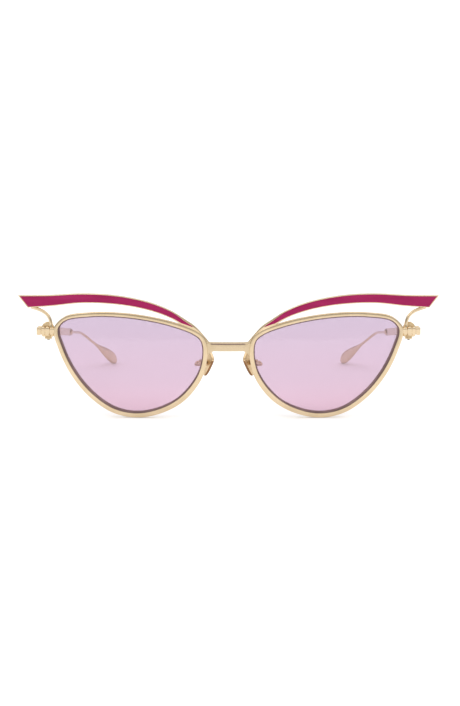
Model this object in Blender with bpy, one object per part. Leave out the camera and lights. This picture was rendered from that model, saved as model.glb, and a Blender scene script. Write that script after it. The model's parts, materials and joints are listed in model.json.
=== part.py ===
"""Cat eye sunglasses: metal rims, raised enamelled brow wings, folding temples, rocking nose pads.

Sizes are in millimetres; place_mesh and tube turn them into metres. X runs across the front,
positive on the wearer's left. Y runs from the front back to the temple tips, and Z is up. The
glasses stand open on their two rims and two temple tips. The origin is the middle of that
footprint, on the surface they stand on. Every shape is worked out for the wearer's left and
mirrored for the right by its side, 1 or -1.
"""

import math

import bmesh
import bpy
from mathutils import Matrix, Vector

MM = 0.001
GAP = 0.1  # between soldered or touching pieces

# The front: each half follows a sphere of the lens's radius, turned back at the temples.
FRONT_Y = -71.05
EYE_CENTRE = (36.5, 19.5)
LENS_RADIUS = 150.0
FRONT_WRAP = math.tan(math.radians(5.0))

# The eye opening inside the rim, as (x, z), anticlockwise from the temporal corner.
EYE_POINTS = (
    (63.5, 33.2), (61.0, 36.1), (52.0, 37.75), (43.0, 37.95), (33.0, 37.05), (22.0, 34.75),
    (13.3, 31.5), (10.6, 29.2), (9.8, 24.8), (11.6, 17.0), (18.2, 8.4), (26.1, 4.05),
    (34.7, 2.5), (42.8, 4.2), (51.05, 10.0), (57.5, 17.9), (61.8, 26.6),
)
# The widths of the rim's inner lip and of its face, every 45 degrees round from the temple.
LIP_WIDTHS = (0.7, 0.4, 0.3, 0.3, 0.35, 0.5, 0.8, 0.95)
FACE_WIDTHS = (1.65, 1.3, 1.6, 1.75, 1.65, 2.0, 1.7, 1.7)
FACE_BEVEL = 0.3
RIM_TAPER = 0.3  # how far the outer wall draws in towards the back
RIM_FRONT = -1.05
RIM_BACK = 1.2
LIP_FRONT = -0.5
GROOVE_DEPTH = 0.6
GROOVE_FRONT, GROOVE_BACK = -0.05, 0.65
LENS_FRONT, LENS_BACK = -0.45, 1.05

BRIDGE_Z = 27.0
BRIDGE_HEIGHT = 3.4
BRIDGE_THICKNESS = 1.5
BRIDGE_BOW = 0.7
BRIDGE_LEDGE = 0.6
BRIDGE_FLARE = 1.8
FLARE_START = 0.7  # share of the way out from the middle
BRIDGE_STATIONS = (0.0, 0.35, 0.8, 0.88, 0.94, 1.0)

# The brow wing's two edges, as (x, z), from the nose outwards. The lower one starts along the rim.
WING_TOP = (
    (7.5, 29.0), (8.75, 30.5), (10.45, 32.55), (12.7, 34.85), (15.8, 37.0), (21.2, 40.45),
    (28.6, 43.5), (37.6, 45.6), (46.6, 46.6), (56.0, 46.65), (67.1, 45.75), (79.4, 45.1),
)
WING_BOTTOM = (
    (8.3, 28.9), (9.6, 30.3), (11.2, 31.6), (13.6, 33.0), (17.0, 34.9), (22.0, 37.9),
    (28.9, 40.45), (37.4, 42.25), (46.6, 43.1), (56.0, 43.0), (66.4, 41.6), (75.7, 40.65),
)
WING_THICKNESS = 1.6
WING_DEPTH_Z = 32.0
WING_EDGE = 0.4
# Stations along the wing where the enamel begins and where it has spread to its full height.
ENAMEL_START, ENAMEL_FULL = 13, 20
ENAMEL_TIP = 0.25  # share of the full height where it begins
ENAMEL_DEPTH = 0.4

END_PIECE = Vector((65.95, 6.2, 32.1))  # the middle of its end against the rim
END_PIECE_BEVEL = 0.25
# Each step of the end piece: its width along X, its half height and its half depth.
END_PIECE_STEPS = (
    (1.3, 1.4, 1.35), (0.25, 1.1, 1.25), (1.4, 1.75, 1.5), (0.25, 1.35, 1.35), (1.2, 1.75, 1.5),
    (0.25, 1.1, 1.25), (1.6, 1.5, 1.4),
)
STRUT_RADIUS = 0.68
STRUT_ROUTE = (
    (66.7, 6.2, 33.6), (66.95, 6.4, 35.5), (67.9, 6.8, 37.7), (69.7, 7.3, 39.3), (72.3, 8.0, 40.15),
)

# The block that closes the rim behind the end piece, split across by a slit.
LOCK = Vector((64.5, 8.45, 31.4))
LOCK_HALF = Vector((1.15, 0.95, 2.1))
LOCK_SLIT = 0.2
LOCK_WEB = 0.4  # what the slit leaves uncut
LOCK_BORE, LOCK_SCREW_RADIUS = 0.5, 0.4
LOCK_HEAD_RADIUS, LOCK_HEAD_HEIGHT = 0.8, 0.5

# The temple hinge: its axis leans back with the temples.
HINGE = Vector((68.0, 9.9, 31.9))
TEMPLE_DROP = math.radians(8.3)
TEMPLE_TOE_IN = math.radians(6.0)
KNUCKLE_RADIUS = 1.35
KNUCKLE_HALF = 1.05
KNUCKLE_TOP, KNUCKLE_FOOT = 2.75, 3.3  # above and below the hinge's middle
WASHER = 0.15
HINGE_BORE = 0.62
HINGE_SCREW_RADIUS = 0.5
SCREW_END = 0.5  # how far the screw stands out below the knuckles
SCREW_HEAD_RADIUS, SCREW_HEAD_HEIGHT = 1.05, 0.4
PLATE_RADIUS = 2.1  # of the front plate's round top, and its half width
PLATE_TOP, PLATE_FOOT = 3.4, 2.2
FRONT_PLATE = 0.6
KNUCKLE_LUG_HALF = 1.1
LEAF_PLATE = 0.85
LEAF_START, LEAF_END = 0.1, 8.0

BAR_OFFSET = 2.65
BAR_START, BAR_END = -1.1, 66.0
BAR_HALF_WIDTH, BAR_HALF_HEIGHT = 1.2, 1.65
# Shares of the bar's length, width and height.
BAR_SHAPE = ((0.0, 0.85, 0.9), (0.01, 1.0, 1.0), (0.5, 0.95, 0.92), (0.99, 0.88, 0.85), (1.0, 0.75, 0.75))
COLLAR_END = 74.0
COLLAR_RADIUS = 1.5
COLLAR_SIDES = 16
# Shares of the collar's length and radius.
COLLAR_SHAPE = (
    (0.0, 0.85), (0.1, 1.0), (0.24, 1.0), (0.28, 0.82), (0.34, 0.82), (0.38, 1.0), (0.5, 1.0),
    (0.54, 0.82), (0.6, 0.82), (0.64, 0.95), (0.74, 0.9), (1.0, 0.5),
)
WIRE_RADIUS = 0.52
WIRE_START = COLLAR_END + GAP
EAR_START = 100.0
EAR_LENGTH = 39.2
EAR_DROP = math.radians(16.64)
EAR_INWARD = math.radians(13.3)
# Where the wire's route passes, along the temple's line and then along the ear piece.
WIRE_STRAIGHT = (WIRE_START, 82.0, 90.0, 97.0)
WIRE_BENT = (3.0, 7.0, 11.0)
TIP_LENGTH = 23.5
# Shares of the tip's length, height and thickness.
TIP_SHAPE = (
    (0.0, 0.22, 0.62), (0.15, 0.34, 0.75), (0.35, 0.6, 0.9), (0.55, 0.86, 1.0), (0.72, 0.98, 1.0),
    (0.84, 1.0, 1.0), (0.92, 0.86, 1.0), (0.97, 0.62, 0.95), (1.0, 0.3, 0.7),
)
TIP_HALF_HEIGHT = 2.4
TIP_HALF_THICKNESS = 0.85

# The nose pad: its frame has u towards the face, v up and n away from the nose.
PAD = Vector((8.0, 8.0, 19.8))
PAD_SPLAY = math.radians(30.0)
PAD_TILT = math.radians(8.0)
PAD_OUTLINE = (
    (0.2, 5.2), (-2.3, 3.7), (-4.0, 1.6), (-2.8, -1.2), (-0.9, -3.9), (0.6, -5.1), (2.3, -3.6), (3.6, 1.3),
)
PAD_SECTION = ((-0.55, 0.93), (-0.3, 1.0), (0.3, 1.0), (0.55, 0.93))  # n and the outline's share
PAD_PIVOT_N = 1.75
LUG = Vector((0.45, 0.75, 0.6))
BOX_CLEARANCE = 0.12
BOX_WALL = 0.5
BOX_HALF_HEIGHT = 0.95
BOX_FRONT, BOX_BACK = 0.95, PAD_PIVOT_N + 1.0
PAD_SCREW_RADIUS, PAD_BORE = 0.28, 0.36
PAD_HEAD_RADIUS, PAD_HEAD_HEIGHT = 0.6, 0.35
PAD_ARM_RADIUS = 0.5
PAD_ARM_ROUTE = ((9.1, 1.5, 19.6), (9.6, 2.9, 19.8), (11.2, 4.1, 19.6), (12.4, 5.1, 19.6))

GOLD = ((0.72, 0.56, 0.33), 0.28, 1.0)
SATIN_GOLD = ((0.66, 0.50, 0.29), 0.4, 1.0)
STEEL = ((0.35, 0.33, 0.30), 0.35, 1.0)
ENAMEL = ((0.39, 0.014, 0.107), 0.25, 0.0)
TINT = ((0.72, 0.52, 0.68), 0.05, 0.0)
NYLON = ((0.75, 0.73, 0.68), 0.5, 0.0)

SIDES = (("left", 1), ("right", -1))


def collection(name):
    made = bpy.data.collections.new(name)
    bpy.context.scene.collection.children.link(made)
    return made


def clear_scene():
    for old in list(bpy.data.objects):
        bpy.data.objects.remove(old, do_unlink=True)


def material(name, finish):
    colour, roughness, metallic = finish
    made = bpy.data.materials.new(name)
    made.use_nodes = True
    shader = made.node_tree.nodes["Principled BSDF"]
    shader.inputs["Base Color"].default_value = (*colour, 1.0)
    shader.inputs["Roughness"].default_value = roughness
    shader.inputs["Metallic"].default_value = metallic
    return made


# Geometry in millimetres


def front_depth(x, z):
    """How far back the front's curved surface lies at x and z."""
    across = abs(x) - EYE_CENTRE[0]
    rise = z - EYE_CENTRE[1]
    return across * FRONT_WRAP + (across * across + rise * rise) / (2 * LENS_RADIUS)


def spline(points, per_span, closed=False):
    """A smooth centripetal curve through the points."""
    points = [Vector(point) for point in points]
    if closed:
        points = [points[-1], *points, points[0], points[1]]
    else:
        points = [2 * points[0] - points[1], *points, 2 * points[-1] - points[-2]]
    curve = []
    for before, start, end, after in zip(points, points[1:], points[2:], points[3:]):
        first = math.sqrt((start - before).length)
        span = math.sqrt((end - start).length)
        last = math.sqrt((after - end).length)
        leave = (start - before) / first - (end - before) / (first + span) + (end - start) / span
        arrive = (end - start) / span - (after - start) / (span + last) + (after - end) / last
        for step in range(per_span):
            t = step / per_span
            curve.append(
                start * (2 * t**3 - 3 * t**2 + 1)
                + leave * span * (t**3 - 2 * t**2 + t)
                + end * (3 * t**2 - 2 * t**3)
                + arrive * span * (t**3 - t**2)
            )
    if not closed:
        curve.append(points[-2])
    return curve


def outward_normals(outline):
    """Each point's outward direction on a closed anticlockwise (x, z) outline."""
    normals = []
    for i, _ in enumerate(outline):
        along = outline[(i + 1) % len(outline)] - outline[i - 1]
        normals.append(Vector((along.y, -along.x)).normalized())
    return normals


EYE = spline(EYE_POINTS, 4, closed=True)
EYE_NORMALS = outward_normals(EYE)


def around(widths, normal):
    """The width that an outward direction has, eased between those given for eight directions."""
    place = math.atan2(normal.y, normal.x) / math.tau * len(widths)
    first = math.floor(place)
    share = place - first
    eased = share * share * (3 - 2 * share)
    return widths[first % len(widths)] * (1 - eased) + widths[(first + 1) % len(widths)] * eased


def grown(distance, lip=0, face=0):
    """The eye opening's outline, moved out by a distance and shares of the lip and the face."""
    outline = []
    for point, normal in zip(EYE, EYE_NORMALS):
        width = lip * around(LIP_WIDTHS, normal) + face * around(FACE_WIDTHS, normal)
        outline.append(point + normal * (distance + width))
    return outline


def beside_rim(point):
    """The (x, z) point, moved out to the rim's edge where it would lie on the rim."""
    edge = grown(GAP, lip=1, face=1)
    nearest = min(range(len(edge)), key=lambda i: (edge[i] - point).length)
    inside = (edge[nearest] - point).dot(EYE_NORMALS[nearest])
    return point + EYE_NORMALS[nearest] * max(0.0, inside)


def wing_edges():
    """The wing's upper and lower edges, point against point, from the nose outwards."""
    return spline(WING_TOP, 4), [beside_rim(point) for point in spline(WING_BOTTOM, 4)]


def on_front(outline, offset):
    """The (x, z) outline laid on the front's surface, offset backwards."""
    return [Vector((p.x, front_depth(p.x, p.y) + offset, p.y)) for p in outline]


def temple_point(x, along, up):
    """A point given across, along and above the temple's line, with the hinge at 0."""
    toed = Matrix.Rotation(TEMPLE_TOE_IN, 3, "Z") @ Vector((x, along, up))
    return HINGE + Matrix.Rotation(-TEMPLE_DROP, 3, "X") @ toed


PAD_U = Vector((math.sin(PAD_SPLAY), math.cos(PAD_SPLAY), 0))
PAD_FLAT_N = Vector((math.cos(PAD_SPLAY), -math.sin(PAD_SPLAY), 0))
PAD_N = PAD_FLAT_N * math.cos(PAD_TILT) + Vector((0, 0, math.sin(PAD_TILT)))
PAD_V = Vector((0, 0, math.cos(PAD_TILT))) - PAD_FLAT_N * math.sin(PAD_TILT)


def pad_point(u, v, n):
    return PAD + PAD_U * u + PAD_V * v + PAD_N * n


# Making objects


def world(point, side):
    """A left-hand point in millimetres, on its side of the object and in metres."""
    return Vector((point.x * side, point.y + FRONT_Y, point.z)) * MM


def place_mesh(name, bm, side, finish, parent=None):
    """The bmesh, in left-hand millimetres, as an object under its parent."""
    for vertex in bm.verts:
        vertex.co = world(vertex.co, side)
        if parent:
            vertex.co -= parent.location
    bmesh.ops.recalc_face_normals(bm, faces=bm.faces)
    if bm.calc_volume(signed=True) < 0:
        bmesh.ops.reverse_faces(bm, faces=bm.faces)
    mesh = bpy.data.meshes.new(name)
    bm.to_mesh(mesh)
    bm.free()
    placed = bpy.data.objects.new(name, mesh)
    placed.parent = parent
    if finish:
        mesh.materials.append(material(name, finish))
        mesh.shade_smooth()
        mesh.set_sharp_from_angle(angle=math.radians(35))
        PARTS.objects.link(placed)
    else:
        CUTTERS.objects.link(placed)
        placed.hide_render = True
        placed.display_type = "WIRE"
    return placed


def boolean(target, operation, name, bm, side, parent=None):
    """Joins or cuts the target with another solid, kept among the cutters."""
    modifier = target.modifiers.new(name, "BOOLEAN")
    modifier.operation = operation
    modifier.solver = "EXACT"
    modifier.object = place_mesh(name, bm, side, None, parent)


def loft(rings, closed=False):
    """Skins equal rings of points. An open loft gets a flat cap at both ends."""
    bm = bmesh.new()
    loops = [[bm.verts.new(point) for point in ring] for ring in rings]
    pairs = list(zip(loops, loops[1:]))
    if closed:
        pairs.append((loops[-1], loops[0]))
    else:
        bm.faces.new(loops[0])
        bm.faces.new(loops[-1])
    for one, other in pairs:
        for i, _ in enumerate(one):
            bm.faces.new((one[i - 1], one[i], other[i], other[i - 1]))
    return bm


def axes(across, along, up, centre):
    frame = Matrix((across, along, up)).transposed().to_4x4()
    frame.translation = centre
    return frame


def box(low, high, frame):
    """A box between two corners given in a frame."""
    low, high = Vector(low), Vector(high)
    size = high - low
    bm = bmesh.new()
    inside = Matrix.Translation((low + high) / 2) @ Matrix.Diagonal((*size, 1))
    bmesh.ops.create_cube(bm, size=1, matrix=frame @ inside)
    return bm


def cylinder(start, end, radius, segments=16):
    span = end - start
    turned = Vector((0, 0, 1)).rotation_difference(span).to_matrix().to_4x4()
    bm = bmesh.new()
    bmesh.ops.create_cone(
        bm, cap_ends=True, segments=segments, radius1=radius, radius2=radius,
        depth=span.length, matrix=Matrix.Translation((start + end) / 2) @ turned,
    )
    return bm


def tube(name, points, radius, side, finish, parent=None):
    """A round wire through the points, as a curve with filled caps."""
    curve = bpy.data.curves.new(name, "CURVE")
    curve.dimensions = "3D"
    curve.bevel_depth = radius * MM
    curve.bevel_resolution = 2
    curve.use_fill_caps = True
    curve.materials.append(material(name, finish))
    line = curve.splines.new("POLY")
    line.points.add(len(points) - 1)
    for control, point in zip(line.points, points):
        place = world(point, side)
        if parent:
            place -= parent.location
        control.co = (*place, 1)
    line.use_smooth = True
    made = bpy.data.objects.new(name, curve)
    made.parent = parent
    PARTS.objects.link(made)


def pivot(name, point, side):
    """An empty on a joint's axis."""
    made = bpy.data.objects.new(name, None)
    made.location = world(point, side)
    made.empty_display_size = 0.005
    PARTS.objects.link(made)
    return made


# The front


def rim(label, side):
    """The eyewire: a closed channel with a stepped face and a groove for the lens."""
    section = (
        (0, 0, 0.0, LIP_FRONT), (1, 0, 0.0, LIP_FRONT), (1, 0, 0.1, RIM_FRONT),
        (1, 1, -FACE_BEVEL, RIM_FRONT), (1, 1, 0.0, RIM_FRONT + FACE_BEVEL),
        (1, 1, -RIM_TAPER, RIM_BACK - 0.2), (1, 1, -RIM_TAPER - 0.2, RIM_BACK),
        (0, 0, 0.2, RIM_BACK), (0, 0, 0.0, RIM_BACK - 0.2), (0, 0, 0.0, GROOVE_BACK + 0.1),
        (0, 0, GROOVE_DEPTH, GROOVE_BACK), (0, 0, GROOVE_DEPTH, GROOVE_FRONT),
        (0, 0, 0.0, GROOVE_FRONT - 0.1),
    )
    lines = [on_front(grown(out, lip, face), back) for lip, face, out, back in section]
    place_mesh(f"rim_{label}", loft(lines, closed=True), side, GOLD)


def lens(label, side):
    """A spherical lens whose thin edge sits in the rim's groove."""
    centre = Vector(EYE_CENTRE)
    clearance = 1.5 * GAP
    seated = GROOVE_DEPTH - clearance
    front, back = GROOVE_FRONT + clearance, GROOVE_BACK - clearance
    step = (
        (-GAP, LENS_FRONT), (-GAP, front), (seated, front), (seated, back), (-GAP, back), (-GAP, LENS_BACK),
    )
    rings = [on_front([centre + (p - centre) * share for p in EYE], LENS_FRONT) for share in (0.3, 0.65)]
    rings += [on_front(grown(out), offset) for out, offset in step]
    rings += [on_front([centre + (p - centre) * share for p in EYE], LENS_BACK) for share in (0.65, 0.3)]
    place_mesh(f"lens_{label}", loft(rings), side, TINT)


def nasal_edge(z):
    """The x of the rim's outer edge, on its nose side, at height z."""
    edge = grown(0, lip=1, face=1)
    crossings = []
    for one, other in zip(edge, edge[1:]):
        if min(one.y, other.y) <= z < max(one.y, other.y):
            crossings.append(one.x + (other.x - one.x) * (z - one.y) / (other.y - one.y))
    return min(crossings)


def bridge():
    """A flat bar with a ledge along its top, bowed forwards and flared down at its ends."""
    half = BRIDGE_HEIGHT / 2
    thick = BRIDGE_THICKNESS / 2
    ledge = BRIDGE_LEDGE
    end_depth = front_depth(nasal_edge(BRIDGE_Z), BRIDGE_Z)
    rings = []
    for share in [-share for share in BRIDGE_STATIONS[:0:-1]] + list(BRIDGE_STATIONS):
        depth = end_depth - BRIDGE_BOW * (1 - share * share)
        flare = BRIDGE_FLARE * max(0.0, (abs(share) - FLARE_START) / (1 - FLARE_START)) ** 1.5
        foot = -half - flare
        section = (
            (-thick, foot), (-thick, 0.6 * foot), (-thick, 0.2 * foot), (-thick, half - ledge),
            (-thick + ledge, half - ledge), (-thick + ledge, half), (thick, half),
            (thick, 0.2 * foot), (thick, 0.6 * foot), (thick, foot),
        )
        ring = []
        for back, up in section:
            reach = nasal_edge(BRIDGE_Z + up) - GAP
            ring.append(Vector((share * reach, depth + back, BRIDGE_Z + up)))
        rings.append(ring)
    place_mesh("bridge", loft(rings), 1, GOLD)


def strip(top, bottom, front, back):
    """A strip that follows the front in plan, between its upper and lower edges."""
    rings = []
    for high, low in zip(top, bottom):
        ring = []
        for point, offset in ((high, front), (high, back), (low, back), (low, front)):
            depth = front_depth(point.x, WING_DEPTH_Z)
            ring.append(Vector((point.x, depth + offset, point.y)))
        rings.append(ring)
    return loft(rings)


def enamel_edges(margin):
    """The enamel's edges, which spread from its tip to the wing's metal border, less the margin."""
    top, bottom = wing_edges()
    upper, lower = [], []
    for i in range(ENAMEL_START, len(top)):
        high, low = top[i], bottom[i]
        spread = min(1.0, (i - ENAMEL_START) / (ENAMEL_FULL - ENAMEL_START))
        filled = ENAMEL_TIP + (1 - ENAMEL_TIP) * spread
        height = (high - low).length
        drawn = (low - high) / height * (height - (height - 2 * WING_EDGE) * filled) / 2
        trim = (low - high) / height * -margin
        upper.append(high + drawn + trim)
        lower.append(low - drawn - trim)
    end = (top[-2] - top[-1]).normalized() * (WING_EDGE - margin)
    for edge in (upper, lower):
        edge[0] += (edge[1] - edge[0]).normalized() * -margin
        edge[-1] += end
    return upper, lower


def wing(label, side):
    """The brow wing: a gold tray and the enamel that fills it."""
    half = WING_THICKNESS / 2
    tray = strip(*wing_edges(), -half, half)
    made = place_mesh(f"wing_{label}", tray, side, GOLD)
    recess = strip(*enamel_edges(0.0), -half - 1, -half + ENAMEL_DEPTH)
    boolean(made, "DIFFERENCE", f"wing_recess_{label}", recess, side)
    fill = strip(*enamel_edges(-GAP / 2), -half + 0.05, -half + ENAMEL_DEPTH - GAP / 2)
    place_mesh(f"wing_enamel_{label}", fill, side, ENAMEL)


def rounded(half_wide, half_high, corner):
    """An oblong with its corners cut by a share of its shorter side, as (across, up) points."""
    cut = corner * min(half_wide, half_high)
    right, top = half_wide - cut, half_high - cut
    return (
        (half_wide, -top), (half_wide, top), (right, half_high), (-right, half_high),
        (-half_wide, top), (-half_wide, -top), (-right, -half_high), (right, -half_high),
    )


def end_piece(label, side):
    """The stepped lug between the rim and the temple."""
    rings = []
    start = 0.0
    for width, high, deep in END_PIECE_STEPS:
        bevel = min(END_PIECE_BEVEL, width / 4)
        end = start + width
        for x, inset in ((start, bevel), (start + bevel, 0), (end - bevel, 0), (end, bevel)):
            section = rounded(deep - inset, high - inset, 0.35)
            rings.append([END_PIECE + Vector((x, y, z)) for y, z in section])
        start = end
    place_mesh(f"end_piece_{label}", loft(rings), side, GOLD)


def wing_strut(label, side):
    """The curved wire from the end piece up to the underside of the wing."""
    tube(f"wing_strut_{label}", spline(STRUT_ROUTE, 4), STRUT_RADIUS, side, GOLD)


def rim_lock(label, side):
    """The split block that closes the rim behind the end piece, and its screw."""
    frame = Matrix.Translation(LOCK)
    half = LOCK_HALF
    foot = LOCK - Vector((0, 0, half.z))
    seat = LOCK + Vector((0, 0, half.z + GAP))
    block = place_mesh(f"rim_lock_{label}", box(-half, half, frame), side, SATIN_GOLD)
    bore = cylinder(foot - Vector((0, 0, 1)), seat + Vector((0, 0, 1)), LOCK_BORE)
    boolean(block, "DIFFERENCE", f"rim_lock_bore_{label}", bore, side)
    slit_end = Vector((half.x - LOCK_WEB, half.y + 1, LOCK_SLIT / 2))
    slit = box((-half.x - 1, -slit_end.y, -slit_end.z), slit_end, frame)
    boolean(block, "DIFFERENCE", f"rim_lock_slit_{label}", slit, side)
    shaft = cylinder(foot, seat + Vector((0, 0, LOCK_HEAD_HEIGHT / 2)), LOCK_SCREW_RADIUS)
    screw = place_mesh(f"rim_screw_{label}", shaft, side, STEEL)
    head = cylinder(seat, seat + Vector((0, 0, LOCK_HEAD_HEIGHT)), LOCK_HEAD_RADIUS)
    boolean(screw, "UNION", f"rim_screw_head_{label}", head, side)


# The hinge


def on_axis(up):
    return temple_point(0, 0, up)


def hinge_bore(target, side, parent=None):
    bore = cylinder(on_axis(-KNUCKLE_FOOT - 2), on_axis(KNUCKLE_TOP + 2), HINGE_BORE)
    boolean(target, "DIFFERENCE", f"{target.name}_bore", bore, side, parent)


def hinge_front_leaf(label, side):
    """The fixed leaf: a round-topped plate behind the end piece, with two knuckles."""
    name = f"hinge_front_leaf_{label}"
    front = END_PIECE.y + END_PIECE_STEPS[2][2] + GAP - HINGE.y
    outline = [(-PLATE_RADIUS, -PLATE_FOOT), (PLATE_RADIUS, -PLATE_FOOT)]
    for i in range(13):
        turn = math.pi * i / 12
        up = PLATE_TOP - PLATE_RADIUS + PLATE_RADIUS * math.sin(turn)
        outline.append((PLATE_RADIUS * math.cos(turn), up))
    rings = [[HINGE + Vector((x, y, z)) for x, z in outline] for y in (front, front + FRONT_PLATE)]
    leaf = place_mesh(name, loft(rings), side, SATIN_GOLD)
    inner = KNUCKLE_HALF + 2 * WASHER
    back = Vector((0, math.cos(TEMPLE_DROP), -math.sin(TEMPLE_DROP)))
    leaning = axes(Vector((1, 0, 0)), back, on_axis(1) - on_axis(0), HINGE)
    for word, low, high in (("upper", inner, KNUCKLE_TOP), ("lower", -KNUCKLE_FOOT, -inner)):
        lug = box((-KNUCKLE_LUG_HALF, front + 0.25, low), (KNUCKLE_LUG_HALF, 0, high), leaning)
        boolean(leaf, "UNION", f"{name}_{word}_lug", lug, side)
        knuckle = cylinder(on_axis(low), on_axis(high), KNUCKLE_RADIUS)
        boolean(leaf, "UNION", f"{name}_{word}_knuckle", knuckle, side)
    hinge_bore(leaf, side)


def hinge_temple_leaf(label, side, fold):
    """The moving leaf: a middle knuckle and the plate on the temple's inner face."""
    name = f"hinge_temple_leaf_{label}"
    knuckle = cylinder(on_axis(-KNUCKLE_HALF), on_axis(KNUCKLE_HALF), KNUCKLE_RADIUS)
    leaf = place_mesh(name, knuckle, side, SATIN_GOLD, fold)
    outer = BAR_OFFSET - BAR_HALF_WIDTH - GAP
    inner = outer - LEAF_PLATE
    corners = ((inner, LEAF_START), (outer, LEAF_START), (outer, LEAF_END), (inner, LEAF_END))
    rings = []
    for up in (-KNUCKLE_HALF + GAP / 2, KNUCKLE_HALF - GAP / 2):
        rings.append([temple_point(x, along, up) for x, along in corners])
    boolean(leaf, "UNION", f"{name}_plate", loft(rings), side, fold)
    hinge_bore(leaf, side, fold)


def hinge_hardware(label, side):
    """The hinge screw and the two washers between the knuckles."""
    seat = KNUCKLE_TOP + GAP
    foot = on_axis(-KNUCKLE_FOOT - SCREW_END)
    shaft = cylinder(foot, on_axis(seat + SCREW_HEAD_HEIGHT / 2), HINGE_SCREW_RADIUS)
    screw = place_mesh(f"hinge_screw_{label}", shaft, side, STEEL)
    head = cylinder(on_axis(seat), on_axis(seat + SCREW_HEAD_HEIGHT), SCREW_HEAD_RADIUS)
    boolean(screw, "UNION", f"hinge_screw_head_{label}", head, side)
    for word, centre in (("upper", KNUCKLE_HALF + WASHER), ("lower", -KNUCKLE_HALF - WASHER)):
        low, high = on_axis(centre - WASHER / 2), on_axis(centre + WASHER / 2)
        disc = cylinder(low, high, KNUCKLE_RADIUS - GAP / 2)
        washer = place_mesh(f"hinge_washer_{word}_{label}", disc, side, NYLON)
        hinge_bore(washer, side)


# The temple


def temple_bar(label, side, fold):
    """The flat front stretch of the temple, tapering backwards."""
    rings = []
    for share, wide, high in BAR_SHAPE:
        along = BAR_START + share * (BAR_END - BAR_START)
        section = rounded(BAR_HALF_WIDTH * wide, BAR_HALF_HEIGHT * high, 0.5)
        rings.append([temple_point(BAR_OFFSET + x, along, up) for x, up in section])
    place_mesh(f"temple_bar_{label}", loft(rings), side, GOLD, fold)


def temple_collar(label, side, fold):
    """The ringed ferrule between the bar and the wire."""
    start = BAR_END + GAP
    rings = []
    for share, size in COLLAR_SHAPE:
        along = start + share * (COLLAR_END - start)
        radius = COLLAR_RADIUS * size
        ring = []
        for i in range(COLLAR_SIDES):
            turn = math.tau * i / COLLAR_SIDES
            ring.append(temple_point(BAR_OFFSET + radius * math.cos(turn), along, radius * math.sin(turn)))
        rings.append(ring)
    place_mesh(f"temple_collar_{label}", loft(rings), side, GOLD, fold)


def ear_point(distance, across=0.0, up=0.0):
    """A point along the ear piece, which drops and turns in from EAR_START."""
    inward = math.tan(EAR_INWARD) * distance * math.cos(EAR_DROP)
    return temple_point(
        BAR_OFFSET - inward + across,
        EAR_START + distance * math.cos(EAR_DROP) + up * math.sin(EAR_DROP),
        -distance * math.sin(EAR_DROP) + up * math.cos(EAR_DROP),
    )


def temple_wire(label, side, fold):
    """The round wire that bends down behind the ear."""
    straight = [temple_point(BAR_OFFSET, along, 0) for along in WIRE_STRAIGHT]
    bent = [ear_point(distance) for distance in (*WIRE_BENT, EAR_LENGTH - TIP_LENGTH - GAP)]
    tube(f"temple_wire_{label}", spline([*straight, *bent], 3), WIRE_RADIUS, side, GOLD, fold)


def temple_tip(label, side, fold):
    """The flattened end of the temple, widening to a rounded spade."""
    rings = []
    for share, high, thick in TIP_SHAPE:
        distance = EAR_LENGTH - TIP_LENGTH * (1 - share)
        section = rounded(TIP_HALF_THICKNESS * thick, TIP_HALF_HEIGHT * high, 0.5)
        rings.append([ear_point(distance, x, z) for x, z in section])
    place_mesh(f"temple_tip_{label}", loft(rings), side, GOLD, fold)


# The nose pad


def pad_box(label, side):
    """The bracket at the end of the pad arm, open towards the pad, and its screw."""
    name = f"pad_box_{label}"
    frame = axes(PAD_U, PAD_V, PAD_N, PAD)
    inner = LUG.x + BOX_CLEARANCE
    outer = inner + BOX_WALL
    tall = BOX_HALF_HEIGHT
    body = box((-outer, -tall, BOX_FRONT), (outer, tall, BOX_BACK + BOX_WALL), frame)
    block = place_mesh(name, body, side, SATIN_GOLD)
    slot = box((-inner, -tall - 1, 0), (inner, tall + 1, BOX_BACK), frame)
    boolean(block, "DIFFERENCE", f"{name}_slot", slot, side)
    bore = cylinder(pad_point(-outer - 1, 0, PAD_PIVOT_N), pad_point(outer + 1, 0, PAD_PIVOT_N), PAD_BORE)
    boolean(block, "DIFFERENCE", f"{name}_bore", bore, side)
    seat = pad_point(outer + GAP, 0, PAD_PIVOT_N)
    end = pad_point(-outer, 0, PAD_PIVOT_N)
    shaft = cylinder(end, seat + PAD_U * PAD_HEAD_HEIGHT / 2, PAD_SCREW_RADIUS)
    screw = place_mesh(f"pad_screw_{label}", shaft, side, STEEL)
    head = cylinder(seat, seat + PAD_U * PAD_HEAD_HEIGHT, PAD_HEAD_RADIUS)
    boolean(screw, "UNION", f"pad_screw_head_{label}", head, side)


def pad_arm(label, side):
    """The thin wire that carries the pad box from the back of the rim."""
    outer = BOX_BACK + BOX_WALL + GAP
    route = [*map(Vector, PAD_ARM_ROUTE), pad_point(0, 0, outer + 1), pad_point(0, 0, outer)]
    tube(f"pad_arm_{label}", spline(route, 3), PAD_ARM_RADIUS, side, GOLD)


def nose_pad(label, side, rock):
    """The kite-shaped pad with the lug that its screw passes through."""
    name = f"nose_pad_{label}"
    outline = spline(PAD_OUTLINE, 3, closed=True)
    rings = [[pad_point(p.x * size, p.y * size, n) for p in outline] for n, size in PAD_SECTION]
    pad = place_mesh(name, loft(rings), side, GOLD, rock)
    frame = axes(PAD_U, PAD_V, PAD_N, PAD)
    lug = box((-LUG.x, -LUG.y, 0), (LUG.x, LUG.y, PAD_PIVOT_N + LUG.z), frame)
    boolean(pad, "UNION", f"{name}_lug", lug, side, rock)
    bore = cylinder(pad_point(-2, 0, PAD_PIVOT_N), pad_point(2, 0, PAD_PIVOT_N), PAD_BORE)
    boolean(pad, "DIFFERENCE", f"{name}_bore", bore, side, rock)


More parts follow.
